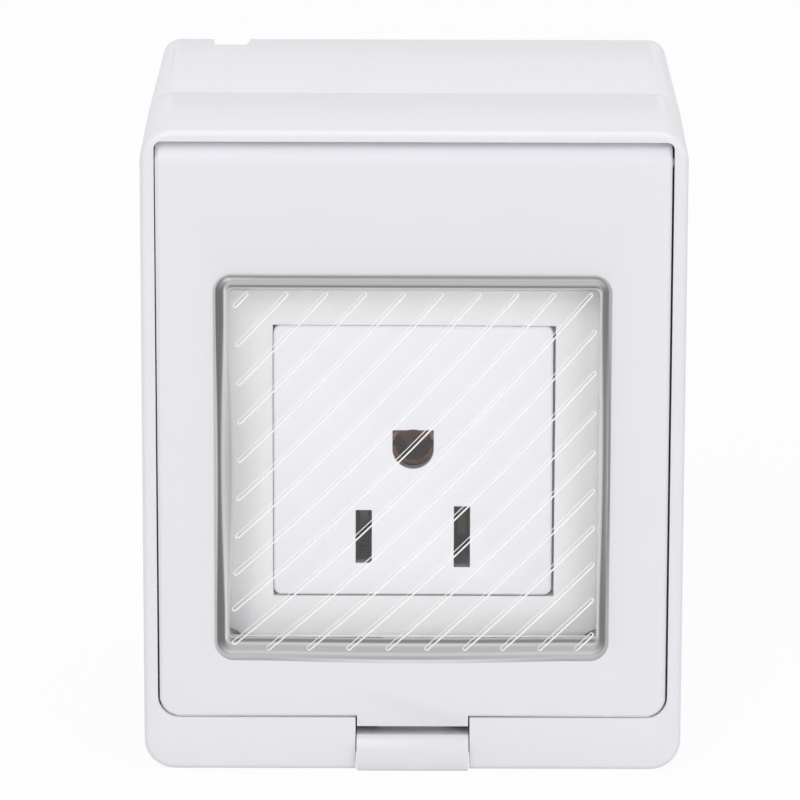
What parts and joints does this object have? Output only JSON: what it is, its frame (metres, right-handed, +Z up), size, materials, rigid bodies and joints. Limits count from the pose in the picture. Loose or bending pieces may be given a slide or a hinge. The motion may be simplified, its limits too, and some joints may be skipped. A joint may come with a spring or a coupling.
{
  "type": "outdoor power outlet",
  "caption": "Weatherproof surface-mounted power outlet box: hinged lid with a clear ridged window over a three-slot socket, pull-down latch and bottom cable entry.",
  "frame": {"origin": "centre of the flat back face that lies on the wall", "axes": "+Z up along the box's longest side, +Y from the front towards the wall, +X to the right seen from the front"},
  "size_m": [0.0696, 0.0528, 0.086],
  "materials": {
    "housing_white": "moulded weatherproof plastic, fine satin texture",
    "lid_white": "moulded weatherproof plastic, satin",
    "latch_white": "moulded plastic, smooth",
    "insert_white": "glossy flame-retardant plastic",
    "base_plastic": "moulded insulating plastic",
    "clamp_plastic": "moulded plastic frame",
    "clear_membrane": "clear flexible membrane with slanting ridges",
    "seal_rubber": "soft foam rubber",
    "grommet_rubber": "grey rubber",
    "contact_brass": "stamped brass",
    "contact_copper": "stamped copper alloy",
    "plated_steel": "zinc-plated sheet steel",
    "screw_steel": "zinc-plated screws",
    "pin_steel": "drawn steel pins",
    "spring_steel": "spring wire"
  },
  "bodies": {
    "housing": {"back_box": "housing_white", "housing_gasket": "seal_rubber", "front_housing": "housing_white", "housing_screws": "screw_steel", "socket_face": "insert_white", "socket_base": "base_plastic", "live_contact": "contact_brass", "neutral_contact": "contact_brass", "ground_contact": "contact_copper", "live_terminal": "contact_brass", "neutral_terminal": "contact_brass", "ground_terminal": "contact_brass", "terminal_screws": "screw_steel", "module_bracket": "plated_steel", "bracket_screws": "screw_steel", "cable_grommet": "grommet_rubber", "latch_pin": "pin_steel", "latch_spring": "spring_steel"},
    "lid": {"lid": "lid_white", "window_membrane": "clear_membrane", "membrane_clamp": "clamp_plastic", "lid_gasket": "seal_rubber", "hinge_pin_left": "pin_steel", "hinge_pin_right": "pin_steel"},
    "latch": {"latch_lever": "latch_white"}
  },
  "joints": [
    {"name": "lid_hinge", "type": "hinge", "parent": "housing", "child": "lid", "pos_m": [0, -0.049, 0.03835], "axis": [-1, 0, 0], "range_deg": [0, 90]},
    {"name": "latch_pivot", "type": "hinge", "parent": "housing", "child": "latch", "pos_m": [0, -0.0415, -0.0396], "axis": [1, 0, 0], "range_deg": [0, 9], "stiffness_Nm_per_rad": 0.05, "springref_deg": -11.46, "deforming": ["latch_spring"]}
  ]
}
